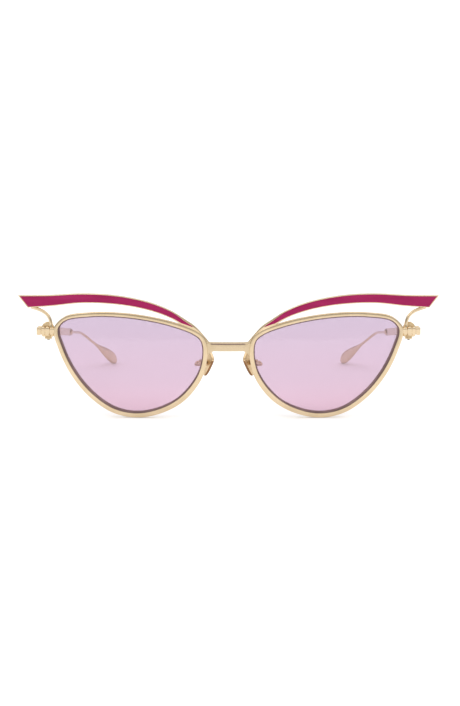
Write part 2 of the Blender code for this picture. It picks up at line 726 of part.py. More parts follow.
clear_scene()
PARTS = collection("cat_eye_sunglasses")
CUTTERS = collection("cutters")

bridge()
for label, side in SIDES:
    rim(label, side)
    lens(label, side)
    wing(label, side)
    wing_strut(label, side)
    end_piece(label, side)
    rim_lock(label, side)
    hinge_front_leaf(label, side)
    hinge_hardware(label, side)
    fold = pivot(f"temple_fold_{label}", HINGE, side)
    hinge_temple_leaf(label, side, fold)
    temple_bar(label, side, fold)
    temple_collar(label, side, fold)
    temple_wire(label, side, fold)
    temple_tip(label, side, fold)
    pad_box(label, side)
    pad_arm(label, side)
    rock = pivot(f"pad_rock_{label}", pad_point(0, 0, PAD_PIVOT_N), side)
    nose_pad(label, side, rock)
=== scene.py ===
"""The finished look of the cat eye sunglasses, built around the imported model.

Sizes are millimetres until a piece is placed, which turns them into metres. As in the model, X
runs across the front, Y from the front back to the temple tips, and Z is up. Each piece is worked
out for the wearer's left, whose side is 1, and mirrored for the right, whose side is -1.
"""

import json
import math

import bmesh
import bpy
from mathutils import Matrix, Vector


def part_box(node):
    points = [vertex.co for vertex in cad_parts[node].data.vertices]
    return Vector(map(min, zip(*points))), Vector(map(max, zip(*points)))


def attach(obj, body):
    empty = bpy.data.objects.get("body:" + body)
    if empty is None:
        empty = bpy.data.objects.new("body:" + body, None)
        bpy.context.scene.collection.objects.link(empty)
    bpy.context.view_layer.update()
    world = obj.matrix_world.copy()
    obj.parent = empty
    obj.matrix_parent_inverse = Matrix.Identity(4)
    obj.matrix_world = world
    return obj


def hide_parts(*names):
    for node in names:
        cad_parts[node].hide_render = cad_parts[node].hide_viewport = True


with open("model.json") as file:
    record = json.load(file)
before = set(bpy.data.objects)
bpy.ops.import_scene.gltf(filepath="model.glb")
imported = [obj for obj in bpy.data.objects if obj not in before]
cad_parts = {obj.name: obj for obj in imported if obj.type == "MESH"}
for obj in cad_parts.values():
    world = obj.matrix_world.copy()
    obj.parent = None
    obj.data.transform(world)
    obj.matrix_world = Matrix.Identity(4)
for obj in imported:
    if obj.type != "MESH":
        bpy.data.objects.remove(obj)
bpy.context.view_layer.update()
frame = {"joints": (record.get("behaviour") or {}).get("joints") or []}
JOINTS = {joint["name"]: joint for joint in frame["joints"]}

MM = 0.001
SIDES = (("left", 1), ("right", -1))

# Places that the frame gives: the hinge's and the pad's joint, and so the front's own Y.
HINGE = Vector(JOINTS["temple_fold_left"]["pos_m"]) / MM
HINGE_LEAN = Vector(JOINTS["temple_fold_left"]["axis"])
TEMPLE_DROP = math.atan2(HINGE_LEAN.y, HINGE_LEAN.z)
HINGE_BEHIND_FRONT = 9.9
FRONT_Y = HINGE.y - HINGE_BEHIND_FRONT
PAD_PIVOT = Vector(JOINTS["pad_rock_left"]["pos_m"]) / MM
PAD_U = Vector(JOINTS["pad_rock_left"]["axis"]).normalized()

EYE_CENTRE = (36.5, 19.5)
LENS_RADIUS = 150.0
FRONT_WRAP = math.tan(math.radians(5.0))
EYE_POINTS = (
    (63.5, 33.2), (61.0, 36.1), (52.0, 37.75), (43.0, 37.95), (33.0, 37.05), (22.0, 34.75),
    (13.3, 31.5), (10.6, 29.2), (9.8, 24.8), (11.6, 17.0), (18.2, 8.4), (26.1, 4.05),
    (34.7, 2.5), (42.8, 4.2), (51.05, 10.0), (57.5, 17.9), (61.8, 26.6),
)
# The widths of the rim's inner lip and of its face, every 45 degrees round from the temple.
LIP_WIDTHS = (0.7, 0.4, 0.3, 0.3, 0.35, 0.5, 0.8, 0.95)
FACE_WIDTHS = (1.65, 1.3, 1.6, 1.75, 1.65, 2.0, 1.7, 1.7)
RIM_CORNER_STEPS = 4
LENS_FRONT, LENS_BACK = -0.45, 1.05
SOLDER = 0.12  # how far soldered pieces run into each other

BRIDGE_Z = 27.0
BRIDGE_HALF_HEIGHT = 1.7
BRIDGE_HALF_THICKNESS = 0.75
BRIDGE_BOW = 0.7
BRIDGE_STATIONS = 48

WING_TOP = (
    (7.5, 29.0), (8.75, 30.5), (10.45, 32.55), (12.7, 34.85), (15.8, 37.0), (21.2, 40.45),
    (28.6, 43.5), (37.6, 45.6), (46.6, 46.6), (56.0, 46.65), (67.1, 45.75), (79.4, 45.1),
)
WING_BOTTOM = (
    (8.3, 28.9), (9.6, 30.3), (11.2, 31.6), (13.6, 33.0), (17.0, 34.9), (22.0, 37.9),
    (28.9, 40.45), (37.4, 42.25), (46.6, 43.1), (56.0, 43.0), (66.4, 41.6), (75.7, 40.65),
)
WING_DEPTH_Z = 32.0
WING_HALF = 0.8
WING_BORDER = 0.34
WING_END = 0.5
ENAMEL_RECESS = 0.35
# Shares of the wing's length at which the enamel starts and is as wide as the border allows.
ENAMEL_START, ENAMEL_FULL = 0.285, 0.46

STRUT_ROUTE = (
    (66.7, 6.2, 33.1), (66.9, 6.35, 35.3), (67.8, 6.8, 37.6), (69.6, 7.3, 39.25),
    (71.8, 7.9, 40.2), (74.0, 8.6, 40.95),
)
STRUT_RADIUS = 0.64

END_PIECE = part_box("end_piece_left")
# Each bead's width and half height, outwards from the rim.
LUG_BEADS = ((1.3, 1.4), (1.4, 1.75), (1.2, 1.75), (1.6, 1.5))
LUG_HALF_DEPTH, LUG_HALF_HEIGHT = 1.5, 1.75
LUG_GROOVE = 0.25

KNUCKLE_RADIUS = 1.35
FRONT_KNUCKLES = ((1.35, 2.75), (-3.3, -1.35))
PLATE_HALF_WIDTH, PLATE_TOP, PLATE_FOOT = 2.35, 3.4, 2.2
PLATE_BEHIND_HINGE = -2.1

BAR_OFFSET = 2.65
TOE_IN = math.radians(6.0)
BAR_START, BAR_END = -1.1, 66.0
BAR_HALF_WIDTH, BAR_HALF_HEIGHT = 1.2, 1.65
COLLAR_START = 66.02
COLLAR_RADIUS, COLLAR_LENGTH = 1.5, 7.9
# Each ring's start, end and share of the collar's radius.
COLLAR_RINGS = ((0.1, 1.0, 0.9), (1.1, 5.0, 1.0), (5.1, 5.75, 0.76))
CONE_START, CONE_RADIUS = 5.85, 0.72
WIRE_RADIUS = 0.52
WIRE_STRAIGHT = (73.8, 82.0, 90.0, 97.0)
WIRE_BENT = (3.0, 7.0, 11.0)
EAR_START = 100.0
EAR_LENGTH = 39.2
EAR_DROP = math.radians(16.64)
EAR_INWARD = math.radians(13.3)
TIP_LENGTH = 23.5
TIP_HALF_THICKNESS, TIP_HALF_HEIGHT = 0.85, 2.38
# Shares of the tip's length, height and thickness, and how square its section is.
TIP_SHAPE = (
    (0.0, 0.22, 0.62, 2.0), (0.06, 0.25, 0.66, 2.0), (0.15, 0.35, 0.75, 2.1),
    (0.25, 0.48, 0.84, 2.3), (0.35, 0.62, 0.92, 2.6), (0.45, 0.76, 0.97, 3.0),
    (0.55, 0.87, 1.0, 3.4), (0.64, 0.94, 1.0, 3.8), (0.72, 0.985, 1.0, 4.0),
    (0.79, 1.0, 1.0, 4.0), (0.85, 0.985, 1.0, 4.0), (0.9, 0.9, 1.0, 3.8),
    (0.94, 0.78, 0.99, 3.6), (0.97, 0.62, 0.95, 3.2), (0.99, 0.44, 0.86, 2.8),
    (1.0, 0.28, 0.7, 2.4),
)

PAD_OUTLINE = (
    (0.2, 5.2), (-2.3, 3.7), (-4.0, 1.6), (-2.8, -1.2), (-0.9, -3.9), (0.6, -5.1),
    (2.3, -3.6), (3.6, 1.3),
)
# From the dished face round to the back: the share of the outline, and how far back it lies.
PAD_PROFILE = (
    (0.1, -0.40), (0.45, -0.41), (0.72, -0.44), (0.86, -0.52), (0.93, -0.55), (0.975, -0.50),
    (1.0, -0.3), (1.0, 0.3), (0.975, 0.48), (0.93, 0.55), (0.8, 0.58), (0.5, 0.62), (0.1, 0.64),
)
BRACKET_OUTER, BRACKET_INNER = 1.07, 0.57
BRACKET_HALF_HEIGHT = 0.95
PAD_ARM_BENDS = ((9.1, 1.1, 19.6), (9.6, 2.9, 19.8), (11.2, 4.1, 19.6), (12.4, 5.1, 19.6))
PAD_ARM_RADIUS = 0.5


# Shapes, in millimetres


def front_depth(x, z):
    """How far back the front's curved surface lies at x and z."""
    across = abs(x) - EYE_CENTRE[0]
    rise = z - EYE_CENTRE[1]
    return across * FRONT_WRAP + (across * across + rise * rise) / (2 * LENS_RADIUS)


def on_front(x, z, offset, depth_z=None):
    return Vector((x, FRONT_Y + front_depth(x, z if depth_z is None else depth_z) + offset, z))


def spline(points, per_span, closed=False):
    """A smooth centripetal curve through the points."""
    points = [Vector(point) for point in points]
    if closed:
        points = [points[-1], *points, points[0], points[1]]
    else:
        points = [2 * points[0] - points[1], *points, 2 * points[-1] - points[-2]]
    curve = []
    for before, start, end, after in zip(points, points[1:], points[2:], points[3:]):
        first = math.sqrt((start - before).length)
        span = math.sqrt((end - start).length)
        last = math.sqrt((after - end).length)
        leave = (start - before) / first - (end - before) / (first + span) + (end - start) / span
        arrive = (end - start) / span - (after - start) / (span + last) + (after - end) / last
        for step in range(per_span):
            t = step / per_span
            curve.append(
                start * (2 * t**3 - 3 * t**2 + 1)
                + leave * span * (t**3 - 2 * t**2 + t)
                + end * (3 * t**2 - 2 * t**3)
                + arrive * span * (t**3 - t**2)
            )
    if not closed:
        curve.append(points[-2])
    return curve


def outward_normals(outline):
    normals = []
    for i, _ in enumerate(outline):
        along = outline[(i + 1) % len(outline)] - outline[i - 1]
        normals.append(Vector((along.y, -along.x)).normalized())
    return normals


EYE = spline(EYE_POINTS, 12, closed=True)
EYE_NORMALS = outward_normals(EYE)


def around(widths, normal):
    """The width that an outward direction has, eased between those given for eight directions."""
    place = math.atan2(normal.y, normal.x) / math.tau * len(widths)
    first = math.floor(place)
    share = place - first
    eased = share * share * (3 - 2 * share)
    return widths[first % len(widths)] * (1 - eased) + widths[(first + 1) % len(widths)] * eased


LIPS = [around(LIP_WIDTHS, normal) for normal in EYE_NORMALS]
WIDTHS = [lip + around(FACE_WIDTHS, normal) for lip, normal in zip(LIPS, EYE_NORMALS)]


def grown(distance, widths=None):
    """The eye opening's outline, moved out by a distance and the width at each point."""
    widths = widths or [0.0] * len(EYE)
    return [p + n * (distance + width) for p, n, width in zip(EYE, EYE_NORMALS, widths)]


RIM_EDGE = grown(0.0, WIDTHS)


def soften(corners, radius=None, steps=3):
    """A closed section with each corner rounded, by one radius or by each corner's own."""
    flat = [Vector(corner[:2]) for corner in corners]
    section = []
    for i, corner in enumerate(flat):
        before, after = flat[i - 1] - corner, flat[(i + 1) % len(flat)] - corner
        wanted = corners[i][2] if radius is None else radius
        reach = min(wanted, 0.45 * before.length, 0.45 * after.length)
        start = corner + before.normalized() * reach
        end = corner + after.normalized() * reach
        for step in range(steps + 1):
            t = step / steps
            section.append(start * (1 - t) ** 2 + corner * 2 * t * (1 - t) + end * t * t)
    return section


def oval(half_wide, half_high, power=2.0, count=24):
    """A superellipse section: power 2 is an ellipse, and more is squarer."""
    points = []
    for i in range(count):
        turn = math.tau * i / count
        c, s = math.cos(turn), math.sin(turn)
        points.append(Vector((
            half_wide * math.copysign(abs(c) ** (2 / power), c),
            half_high * math.copysign(abs(s) ** (2 / power), s),
        )))
    return points


def temple_point(x, along, up):
    """A point across, along and above the temple's line, with the hinge at 0."""
    toed = Matrix.Rotation(TOE_IN, 3, "Z") @ Vector((x, along, up))
    return HINGE + Matrix.Rotation(-TEMPLE_DROP, 3, "X") @ toed


def on_axis(up):
    return temple_point(0, 0, up)


PAD_FLAT_N = Vector((PAD_U.y, -PAD_U.x, 0))
PAD_TILT = math.radians(8.0)
PAD_N = PAD_FLAT_N * math.cos(PAD_TILT) + Vector((0, 0, math.sin(PAD_TILT)))
PAD_V = Vector((0, 0, math.cos(PAD_TILT))) - PAD_FLAT_N * math.sin(PAD_TILT)
PAD_PIVOT_N = 1.75


def pad_point(u, v, n):
    """A point in the pad's frame: u towards the face, v up and n away from the nose."""
    return PAD_PIVOT + PAD_U * u + PAD_V * v + PAD_N * (n - PAD_PIVOT_N)


# Making pieces


def place(name, bm, side, materials, body, slot, node, sharp=40):
    """The bmesh, in left-hand millimetres, as a piece that rides on its body."""
    for vertex in bm.verts:
        vertex.co = Vector((vertex.co.x * side, vertex.co.y, vertex.co.z)) * MM
    bmesh.ops.recalc_face_normals(bm, faces=bm.faces)
    if bm.calc_volume(signed=True) < 0:
        bmesh.ops.reverse_faces(bm, faces=bm.faces)
    mesh = bpy.data.meshes.new(name)
    bm.to_mesh(mesh)
    bm.free()
    for material in materials:
        mesh.materials.append(material)
    mesh.shade_smooth()
    mesh.set_sharp_from_angle(angle=math.radians(sharp))
    piece = bpy.data.objects.new(name, mesh)
    bpy.context.scene.collection.objects.link(piece)
    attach(piece, body)
    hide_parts(node)
    return piece


def loft(rings, closed=False, into=None):
    """Skins equal rings of points. An open loft gets a flat cap at both ends."""
    bm = into or bmesh.new()
    loops = [[bm.verts.new(point) for point in ring] for ring in rings]
    pairs = list(zip(loops, loops[1:]))
    if closed:
        pairs.append((loops[-1], loops[0]))
    else:
        bm.faces.new(loops[0])
        bm.faces.new(loops[-1])
    for one, other in pairs:
        for i, _ in enumerate(one):
            bm.faces.new((one[i - 1], one[i], other[i], other[i - 1]))
    return bm


def circle(centre, normal, other, radius, sides):
    turns = [math.tau * k / sides for k in range(sides)]
    return [centre + (normal * math.cos(turn) + other * math.sin(turn)) * radius for turn in turns]


def sweep(points, radii):
    """A round wire through the points, with a radius at each and softly rounded ends."""
    sides = 20
    rounding = ((0.28, 0.55), (0.2, 0.82))
    points = [Vector(point) for point in points]
    tangents = []
    for i, _ in enumerate(points):
        ahead = points[min(i + 1, len(points) - 1)] - points[max(i - 1, 0)]
        tangents.append(ahead.normalized())
    normal = tangents[0].orthogonal().normalized()
    rings = []
    for i, (point, along, radius) in enumerate(zip(points, tangents, radii)):
        normal = (normal - along * normal.dot(along)).normalized()
        other = along.cross(normal)
        stations = [(0.0, 1.0)]
        if i == 0:
            stations = [(-shift, share) for shift, share in rounding] + stations
        elif i == len(points) - 1:
            stations += reversed(rounding)
        for shift, share in stations:
            centre = point + along * (shift * radius)
            rings.append(circle(centre, normal, other, radius * share, sides))
    return loft(rings)


def turned(start, along, profile, sides=32, into=None):
    """A turned solid: the profile gives (distance along, radius)."""
    along = along.normalized()
    normal = along.orthogonal().normalized()
    other = along.cross(normal)
    rings = []
    for distance, radius in profile:
        rings.append(circle(start + along * distance, normal, other, radius, sides))
    return loft(rings, into=into)


def block(centre, axes, half, soft, into=None):
    """A box with softened edges: half gives its half sizes along the three axes."""
    across, along, up = axes
    wide, deep, tall = half
    rings = []
    for lift, inset in ((-tall, soft), (soft - tall, 0), (tall - soft, 0), (tall, soft)):
        x, y = wide - inset, deep - inset
        section = soften(((x, -y), (x, y), (-x, y), (-x, -y)), soft)
        rings.append([centre + across * p.x + along * p.y + up * lift for p in section])
    return loft(rings, into=into)


def slotted_head(start, along, radius, height):
    """A domed screw head with a slot across it."""
    steps = 20
    along = along.normalized()
    normal = along.orthogonal().normalized()
    other = along.cross(normal)
    bm = bmesh.new()
    half_slot = 0.16 * radius
    for sign in (1, -1):
        rings = []
        for share, size in ((0.0, 1.0), (0.55, 1.0), (0.85, 0.9), (1.0, 0.7)):
            ring = []
            edge = radius * size
            limit = math.acos(min(0.95, half_slot / edge))
            for k in range(steps + 1):
                turn = -limit + 2 * limit * k / steps
                ring.append(
                    start + along * (height * share)
                    + (normal * math.cos(turn) * sign + other * math.sin(turn)) * edge
                )
            rings.append(ring)
        loft(rings, into=bm)
    slot_floor = ((0.0, radius * 0.98), (height * 0.5, radius * 0.98))
    return turned(start, along, slot_floor, into=bm)


# Materials


def set_stops(ramp, stops):
    """Gives a colour ramp its stops, each a position and a colour or a grey."""
    elements = ramp.color_ramp.elements
    while len(elements) < len(stops):
        elements.new(0.5)
    for element, (position, colour) in zip(elements, stops):
        tone = colour if isinstance(colour, tuple) else (colour, colour, colour)
        element.position = position
        element.color = (*tone, 1.0)


class Nodes:
    """A Principled material and the few node steps that these finishes use."""

    def __init__(self, name):
        self.material = bpy.data.materials.new(name)
        self.material.use_nodes = True
        self.tree = self.material.node_tree
        self.shader = self.tree.nodes["Principled BSDF"]
        self.where = self.tree.nodes.new("ShaderNodeTexCoord").outputs["Object"]

    def set(self, **values):
        for name, value in values.items():
            self.shader.inputs[name.replace("_", " ")].default_value = value

    def noise(self, scale, detail=3.0, stretch=(1, 1, 1), roughness=0.5):
        mapping = self.tree.nodes.new("ShaderNodeMapping")
        mapping.inputs["Scale"].default_value = stretch
        self.tree.links.new(self.where, mapping.inputs["Vector"])
        texture = self.tree.nodes.new("ShaderNodeTexNoise")
        texture.inputs["Scale"].default_value = scale
        texture.inputs["Detail"].default_value = detail
        texture.inputs["Roughness"].default_value = roughness
        self.tree.links.new(mapping.outputs["Vector"], texture.inputs["Vector"])
        return texture.outputs["Fac"]

    def ramp(self, value, stops, interpolation="LINEAR"):
        made = self.tree.nodes.new("ShaderNodeValToRGB")
        made.color_ramp.interpolation = interpolation
        set_stops(made, stops)
        self.tree.links.new(value, made.inputs["Fac"])
        return made.outputs["Color"]

    def remap(self, value, low, high, to_low, to_high):
        made = self.tree.nodes.new("ShaderNodeMapRange")
        made.inputs["From Min"].default_value = low
        made.inputs["From Max"].default_value = high
        made.inputs["To Min"].default_value = to_low
        made.inputs["To Max"].default_value = to_high
        self.tree.links.new(value, made.inputs["Value"])
        return made.outputs["Result"]

    def link(self, output, name):
        self.tree.links.new(output, self.shader.inputs[name])

    def bump(self, height, strength, distance):
        made = self.tree.nodes.new("ShaderNodeBump")
        made.inputs["Strength"].default_value = strength
        made.inputs["Distance"].default_value = distance
        self.tree.links.new(height, made.inputs["Height"])
        self.tree.links.new(made.outputs["Normal"], self.shader.inputs["Normal"])


def metal(name, dark, light, smooth, rough, grain, grain_stretch=(1, 1, 1), bump=0.15):
    """A plated metal, whose colour drifts between two tones and its polish between two."""
    nodes = Nodes(name)
    nodes.set(Metallic=1.0)
    nodes.link(nodes.ramp(nodes.noise(160, 2.0), ((0.35, dark), (0.65, light))), "Base Color")
    scratches = nodes.noise(grain, 4.0, grain_stretch, 0.6)
    nodes.link(nodes.remap(scratches, 0.3, 0.7, smooth, rough), "Roughness")
    nodes.bump(scratches, bump, 0.00001)
    return nodes.material


def enamel():
    """Deep magenta enamel under a clear gloss, with faint streaks along the wing."""
    nodes = Nodes("magenta_enamel")
    nodes.set(Roughness=0.14, Specular_IOR_Level=0.3, Specular_Tint=(1.0, 0.35, 0.6, 1.0))
    streaks = nodes.noise(220, 3.0, (0.25, 0.25, 1.6))
    tones = (
        (0.3, (0.29, 0.012, 0.073)), (0.55, (0.34, 0.016, 0.090)), (0.8, (0.38, 0.024, 0.115)),
    )
    nodes.link(nodes.ramp(streaks, tones), "Base Color")
    nodes.bump(nodes.noise(500, 2.0), 0.06, 0.00002)
    return nodes.material


def tinted_glass():
    """Lens tint: lilac at the top and pink below, with a light mirror coat."""
    nodes = Nodes("tinted_lens")
    nodes.set(Roughness=0.0, IOR=1.5, Transmission_Weight=1.0)
    nodes.set(Coat_Weight=0.35, Coat_Roughness=0.02, Coat_IOR=2.0)
    split = nodes.tree.nodes.new("ShaderNodeSeparateXYZ")
    nodes.tree.links.new(nodes.where, split.inputs["Vector"])
    low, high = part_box("lens_left")
    height = nodes.remap(split.outputs["Z"], low.z, high.z, 0.0, 1.0)
    tint = (
        (0.0, (0.655, 0.435, 0.55)), (0.45, (0.59, 0.425, 0.545)), (1.0, (0.56, 0.435, 0.565)),
    )
    nodes.link(nodes.ramp(height, tint, "EASE"), "Base Color")
    return nodes.material


def plastic(name, colour, roughness):
    nodes = Nodes(name)
    tone = tuple(channel * 0.85 for channel in colour)
    nodes.link(nodes.ramp(nodes.noise(900), ((0.3, tone), (0.7, colour))), "Base Color")
    nodes.set(Roughness=roughness)
    nodes.bump(nodes.noise(3000), 0.1, 0.00001)
    return nodes.material


GOLD = metal("champagne_gold", (0.68, 0.53, 0.34), (0.74, 0.585, 0.39), 0.13, 0.22, 2600)
# A darker copy of the gold for the bridge: painted shade on its flat face, with a little for its
# engraved lettering.
SHADED_BRIDGE_GOLD = metal("bridge_gold_painted_shade", (0.58, 0.455, 0.29), (0.64, 0.505, 0.335), 0.15, 0.24, 2600)
SATIN = metal(
    "satin_gold", (0.70, 0.52, 0.30), (0.78, 0.60, 0.36), 0.28, 0.42, 4200, (1, 1, 0.1), 0.3
)
PAD_FINISH = metal(
    "pad_gold", (0.72, 0.54, 0.32), (0.80, 0.61, 0.38), 0.36, 0.48, 3000, (1, 1, 0.2), 0.25
)
# A dark bronze for the pad's lower front edge: painted shade and painted dark reflection on that
# edge.
PAD_EDGE_SHADE = metal("pad_edge_painted_shade", (0.24, 0.12, 0.055), (0.32, 0.17, 0.08), 0.2, 0.32, 3000)
# A dark brownish metal for the rim's inner lip and the bridge's groove: painted shade in these
# recesses.
RECESS_SHADE = metal("recess_painted_shade", (0.20, 0.13, 0.13), (0.26, 0.17, 0.17), 0.3, 0.45, 3000)
STEEL = metal("screw_steel", (0.40, 0.36, 0.31), (0.52, 0.47, 0.40), 0.2, 0.34, 5000)
ENAMEL = enamel()
GLASS = tinted_glass()
NYLON = plastic("washer_nylon", (0.78, 0.76, 0.70), 0.45)


# The front


def rim(label, side):
    """The eyewire: a crowned gold face, a lip with painted shade, a lens groove and a soft back."""
    lines = []
    for point, normal, lip, width in zip(EYE, EYE_NORMALS, LIPS, WIDTHS):
        # Out from the eye opening, back from the front's surface, and the corner's radius.
        section = soften((
            (0.0, -0.5, 0.08), (lip, -0.48, 0.03), (lip + 0.05, -0.98, 0.1),
            ((lip + width) / 2, -1.05, 0.5), (width - 0.08, -0.98, 0.3), (width, -0.4, 0.3),
            (width - 0.3, 1.2, 0.35), (0.0, 1.2, 0.25), (0.0, 0.75, 0.05), (0.6, 0.65, 0.05),
            (0.6, -0.05, 0.05), (0.0, -0.15, 0.05),
        ), steps=RIM_CORNER_STEPS)
        lines.append([on_front(*(point + normal * p.x), p.y) for p in section])
    bm = loft(lines, closed=True)
    # The lip's faces take the dark metal: painted shade where the face steps down to the lens.
    lip_shade_faces = range(2, 2 * (RIM_CORNER_STEPS + 1) + 1)
    for index, face in enumerate(bm.faces):
        if index % len(lines[0]) in lip_shade_faces:
            face.material_index = 1
    place(f"eyewire_{label}", bm, side, [GOLD, RECESS_SHADE], "front", "gold", f"rim_{label}")


def lens(label, side):
    """The lens: two spherical faces and a thin edge seated in the groove."""
    centre = Vector(EYE_CENTRE)
    shares = (0.1, 0.25, 0.4, 0.55, 0.7, 0.85, 0.95)
    clear, seated = -0.1, 0.45
    edge = (
        (clear, LENS_FRONT), (clear, 0.1), (seated, 0.1), (seated, 0.5), (clear, 0.5),
        (clear, LENS_BACK),
    )
    outline = grown(clear)
    rings = []
    for share in shares:
        rings.append([on_front(*(centre + (p - centre) * share), LENS_FRONT) for p in outline])
    for out, offset in edge:
        rings.append([on_front(p.x, p.y, offset) for p in grown(out)])
    for share in reversed(shares):
        rings.append([on_front(*(centre + (p - centre) * share), LENS_BACK) for p in outline])
    name = f"tinted_lens_{label}"
    piece = place(name, loft(rings), side, [GLASS], "front", "lens_tint", f"lens_{label}")
    piece.visible_shadow = False


def nasal_edge(z):
    """The x of the rim's outer edge, on its nose side, at height z."""
    crossings = []
    for one, other in zip(RIM_EDGE, RIM_EDGE[1:]):
        if min(one.y, other.y) <= z < max(one.y, other.y):
            crossings.append(one.x + (other.x - one.x) * (z - one.y) / (other.y - one.y))
    return min(crossings)


def bridge():
    """The flat bar between the rims: a groove under its top edge, and ends flared into the rims."""
    half, thick = BRIDGE_HALF_HEIGHT, BRIDGE_HALF_THICKNESS
    reach = nasal_edge(BRIDGE_Z)
    rings = []
    for i in range(BRIDGE_STATIONS + 1):
        share = 2 * i / BRIDGE_STATIONS - 1
        flare = 1.8 * max(0.0, (abs(share) - 0.7) / 0.3) ** 1.5
        lift = 0.9 * max(0.0, (abs(share) - 0.84) / 0.16) ** 1.8
        sunk = 0.34 * min(1.0, max(0.0, (0.86 - abs(share)) / 0.05))
        depth = front_depth(reach, BRIDGE_Z) - BRIDGE_BOW * (1 - share * share)
        section = soften((
            (-thick, -half - flare, 0.2), (-thick, half - 0.85, 0.04),
            (sunk - thick, half - 0.82, 0.03), (sunk - thick, half - 0.52, 0.03),
            (0.12 - thick, half - 0.5, 0.04), (0.12 - thick, half + lift, 0.25),
            (thick, half + lift, 0.25), (thick, -half - flare, 0.25),
        ))
        ring = []
        for p in section:
            end = nasal_edge(BRIDGE_Z + p.y) + 3 * SOLDER
            x = share * (reach + (end - reach) * abs(share) ** 8)
            ring.append(Vector((x, FRONT_Y + depth + p.x, BRIDGE_Z + p.y)))
        rings.append(ring)
    bm = loft(rings)
    # The groove's faces take the dark metal: painted shade in the groove under the top edge.
    groove_shade_faces, groove_middle, groove_reach = range(7, 16), 0.97, 0.82
    for index, face in enumerate(bm.faces):
        station, corner = divmod(index - 2, len(rings[0]))
        from_middle = abs(2 * station / BRIDGE_STATIONS - groove_middle)
        if corner in groove_shade_faces and from_middle < groove_reach:
            face.material_index = 1
    place("nose_bridge", bm, 1, [SHADED_BRIDGE_GOLD, RECESS_SHADE], "front", "gold", "bridge")


def wing_edges():
    """The wing's upper and lower edges, whose lower one starts soldered along the rim."""
    per_span = 14
    lower = []
    for point in spline(WING_BOTTOM, per_span):
        nearest = min(range(len(EYE)), key=lambda i: (RIM_EDGE[i] - point).length)
        inside = (RIM_EDGE[nearest] - point).dot(EYE_NORMALS[nearest]) - SOLDER
        lower.append(point + EYE_NORMALS[nearest] * max(0.0, inside))
    return spline(WING_TOP, per_span), lower


def wing_station(high, low, spread, recess):
    """One cross section of the wing: the tray's ring and the enamel's ring."""
    height = (high - low).length
    up = (high - low) / height
    filled = (height - 2 * WING_BORDER) * (0.25 + 0.75 * spread)
    foot, brow = (height - filled) / 2, (height + filled) / 2
    floor = recess - WING_HALF
    section = soften((
        (0, WING_HALF), (0, 0.08 - WING_HALF), (foot, -WING_HALF), (foot + 0.01, floor),
        (brow - 0.01, floor), (brow, -WING_HALF), (height, 0.14 - WING_HALF), (height, WING_HALF),
    ), 0.1)
    tray = [on_front(*(low + up * p.x), p.y, WING_DEPTH_Z) for p in section]
    face = []
    for k in range(11):
        across = k / 10
        crown = 0.1 * min(1.0, filled) * (1 - (2 * across - 1) ** 4)
        face.append((foot + filled * across, 0.04 - WING_HALF - crown))
    face += [(brow, ENAMEL_RECESS - WING_HALF), (foot, ENAMEL_RECESS - WING_HALF)]
    enamel_ring = [on_front(*(low + up * across), back, WING_DEPTH_Z) for across, back in face]
    return tray, enamel_ring


def wing(label, side):
    """The brow wing: a gold tray with a raised border, and the domed enamel inside it."""
    top, bottom = wing_edges()
    last = len(top) - 1
    shift = (top[-2] - top[-1]).normalized() * WING_END
    tray, fill = [], []
    for i in range(last):
        share = i / last
        widened = (share - ENAMEL_START) / (ENAMEL_FULL - ENAMEL_START)
        spread = min(1.0, max(0.0, widened)) ** 0.75
        recess = ENAMEL_RECESS * min(1.0, spread * 4)
        ring, enamel_ring = wing_station(top[i], bottom[i], spread, recess)
        tray.append(ring)
        if share > ENAMEL_START:
            fill.append(enamel_ring)
    ring, enamel_ring = wing_station(top[-1] + shift, bottom[-1] + shift, 1.0, ENAMEL_RECESS)
    tray.append(ring)
    fill.append(enamel_ring)
    shallow = 0.02
    for part in (0.95, 0.0):
        inward = shift * part
        tray.append(wing_station(top[-1] + inward, bottom[-1] + inward, 1.0, shallow)[0])
    place(f"brow_wing_{label}", loft(tray), side, [GOLD], "front", "gold", f"wing_{label}", 30)
    name, node = f"brow_enamel_{label}", f"wing_enamel_{label}"
    place(name, loft(fill), side, [ENAMEL], "front", "wing_enamel", node, 50)


def wing_strut(label, side):
    """The curved wire up to the wing, thicker at its foot and faired into the wing's underside."""
    route = spline(STRUT_ROUTE, 10)
    radii = []
    for i, point in enumerate(route):
        point.y += FRONT_Y
        share = i / (len(route) - 1)
        foot = 0.3 * max(0.0, 1 - share / 0.15) ** 2
        fairing = 0.2 * max(0.0, share / 0.3 - 2.33) ** 2
        radii.append(STRUT_RADIUS + foot + fairing)
    bm = sweep(route, radii)
    place(f"strut_{label}", bm, side, [GOLD], "front", "gold", f"wing_strut_{label}")


def end_piece(label, side):
    """The stepped lug outside the rim, as crowned beads on a core."""
    low, high = (corner / MM for corner in END_PIECE)
    centre = (low + high) / 2
    stub, stub_half = 0.4, 1.1
    stations = [(low.x - stub, stub_half)]
    x = low.x
    for width, half in LUG_BEADS:
        for k in range(13):
            share = k / 12
            stations.append((x + width * share, half * (1 - 0.14 * abs(2 * share - 1) ** 3.5)))
        x += width
        stations += [(x + LUG_GROOVE * share, half * 0.66) for share in (0.2, 0.8)]
        x += LUG_GROOVE
    rings = []
    for x, half in stations[:-2]:
        deep = LUG_HALF_DEPTH * (0.4 + 0.6 * half / LUG_HALF_HEIGHT)
        section = oval(deep, half, 5.0, 40)
        rings.append([Vector((x, centre.y + p.x, centre.z + p.y)) for p in section])
    place(f"lug_{label}", loft(rings), side, [GOLD], "front", "gold", f"end_piece_{label}", 32)


